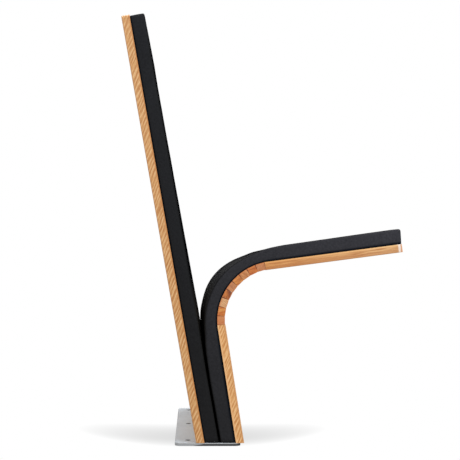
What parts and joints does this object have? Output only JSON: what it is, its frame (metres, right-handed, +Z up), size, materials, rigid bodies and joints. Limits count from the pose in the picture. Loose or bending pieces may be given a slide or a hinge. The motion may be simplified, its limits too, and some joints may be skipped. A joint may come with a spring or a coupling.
{
  "type": "tip-up auditorium seat",
  "caption": "Slim upholstered seat and back on a floor plate; the seat tips up on a curling chain of bevelled wooden slats until it lies along the back.",
  "frame": {"origin": "middle of the floor plate's underside", "axes": "+X across the seat, +Z up, the seat faces -Y"},
  "size_m": [0.5, 0.5813, 0.895],
  "materials": {
    "floor_plate": "satin light grey",
    "inner_steel": "matt black",
    "hinge_steel": "brushed",
    "spring_steel": "blued",
    "screw_steel": "zinc plated",
    "back_wood": "plywood, clear lacquer",
    "lower_wood": "plywood, clear lacquer",
    "seat_wood": "plywood, clear lacquer",
    "nosing_wood": "solid wood, clear lacquer",
    "slat_wood": "solid wood, clear lacquer",
    "board": "raw hardboard",
    "back_fabric": "black woven",
    "seat_fabric": "black woven",
    "foam": "open-cell foam"
  },
  "bodies": {
    "stand": {"base_plate": "floor_plate", "back_spine": "inner_steel", "back_panel": "back_wood", "back_screws": "screw_steel", "lower_spine": "inner_steel", "lower_panel": "lower_wood", "lower_screws": "screw_steel", "hinge_rod_1": "hinge_steel", "return_springs": "spring_steel", "spring_rivets": "screw_steel", "back_cover": "back_fabric", "back_foam": "foam", "back_board": "board", "lower_cover": "seat_fabric", "lower_foam": "foam", "bend_cover": "seat_fabric", "bend_foam": "foam"},
    "link_1": {"slat_1": "slat_wood", "hinge_leaf_1": "hinge_steel", "slat_screws_1": "screw_steel", "hinge_rod_2": "hinge_steel"},
    "link_2": {"slat_2": "slat_wood", "hinge_leaf_2": "hinge_steel", "slat_screws_2": "screw_steel", "hinge_rod_3": "hinge_steel"},
    "link_3": {"slat_3": "slat_wood", "hinge_leaf_3": "hinge_steel", "slat_screws_3": "screw_steel", "hinge_rod_4": "hinge_steel"},
    "link_4": {"slat_4": "slat_wood", "hinge_leaf_4": "hinge_steel", "slat_screws_4": "screw_steel", "hinge_rod_5": "hinge_steel"},
    "link_5": {"slat_5": "slat_wood", "hinge_leaf_5": "hinge_steel", "slat_screws_5": "screw_steel", "hinge_rod_6": "hinge_steel"},
    "link_6": {"slat_6": "slat_wood", "hinge_leaf_6": "hinge_steel", "slat_screws_6": "screw_steel", "hinge_rod_7": "hinge_steel"},
    "link_7": {"slat_7": "slat_wood", "hinge_leaf_7": "hinge_steel", "slat_screws_7": "screw_steel", "hinge_rod_8": "hinge_steel"},
    "link_8": {"slat_8": "slat_wood", "hinge_leaf_8": "hinge_steel", "slat_screws_8": "screw_steel", "hinge_rod_9": "hinge_steel"},
    "link_9": {"slat_9": "slat_wood", "hinge_leaf_9": "hinge_steel", "slat_screws_9": "screw_steel", "hinge_rod_10": "hinge_steel"},
    "seat": {"seat_plate": "inner_steel", "seat_panel": "seat_wood", "seat_nosing": "nosing_wood", "seat_screws": "screw_steel", "seat_cover": "seat_fabric", "seat_foam": "foam"}
  },
  "joints": [
    {"name": "fold_01", "type": "hinge", "parent": "stand", "child": "link_1", "pos_m": [0, -0.01994, 0.2492], "axis": [-1, 0, 0], "range_deg": [0, 9.15], "deforming": ["bend_cover", "bend_foam", "return_springs"]},
    {"name": "fold_02", "type": "hinge", "parent": "link_1", "child": "link_2", "pos_m": [0, -0.01999, 0.26885], "axis": [-1, 0, 0], "range_deg": [0, 9.15], "deforming": ["bend_cover", "bend_foam", "return_springs"]},
    {"name": "fold_03", "type": "hinge", "parent": "link_2", "child": "link_3", "pos_m": [0, -0.02317, 0.28824], "axis": [-1, 0, 0], "range_deg": [0, 9.15], "deforming": ["bend_cover", "bend_foam", "return_springs"]},
    {"name": "fold_04", "type": "hinge", "parent": "link_3", "child": "link_4", "pos_m": [0, -0.02939, 0.30688], "axis": [-1, 0, 0], "range_deg": [0, 9.15], "deforming": ["bend_cover", "bend_foam", "return_springs"]},
    {"name": "fold_05", "type": "hinge", "parent": "link_4", "child": "link_5", "pos_m": [0, -0.03849, 0.3243], "axis": [-1, 0, 0], "range_deg": [0, 9.15], "deforming": ["bend_cover", "bend_foam", "return_springs"]},
    {"name": "fold_06", "type": "hinge", "parent": "link_5", "child": "link_6", "pos_m": [0, -0.05025, 0.34004], "axis": [-1, 0, 0], "range_deg": [0, 9.15], "deforming": ["bend_cover", "bend_foam", "return_springs"]},
    {"name": "fold_07", "type": "hinge", "parent": "link_6", "child": "link_7", "pos_m": [0, -0.06436, 0.35371], "axis": [-1, 0, 0], "range_deg": [0, 9.15], "deforming": ["bend_cover", "bend_foam", "return_springs"]},
    {"name": "fold_08", "type": "hinge", "parent": "link_7", "child": "link_8", "pos_m": [0, -0.08047, 0.36497], "axis": [-1, 0, 0], "range_deg": [0, 9.15], "deforming": ["bend_cover", "bend_foam", "return_springs"]},
    {"name": "fold_09", "type": "hinge", "parent": "link_8", "child": "link_9", "pos_m": [0, -0.09816, 0.37352], "axis": [-1, 0, 0], "range_deg": [0, 9.15], "deforming": ["bend_cover", "bend_foam", "return_springs"]},
    {"name": "fold_10", "type": "hinge", "parent": "link_9", "child": "seat", "pos_m": [0, -0.11698, 0.37915], "axis": [-1, 0, 0], "range_deg": [0, 9.15], "deforming": ["bend_cover", "bend_foam", "return_springs"]}
  ]
}
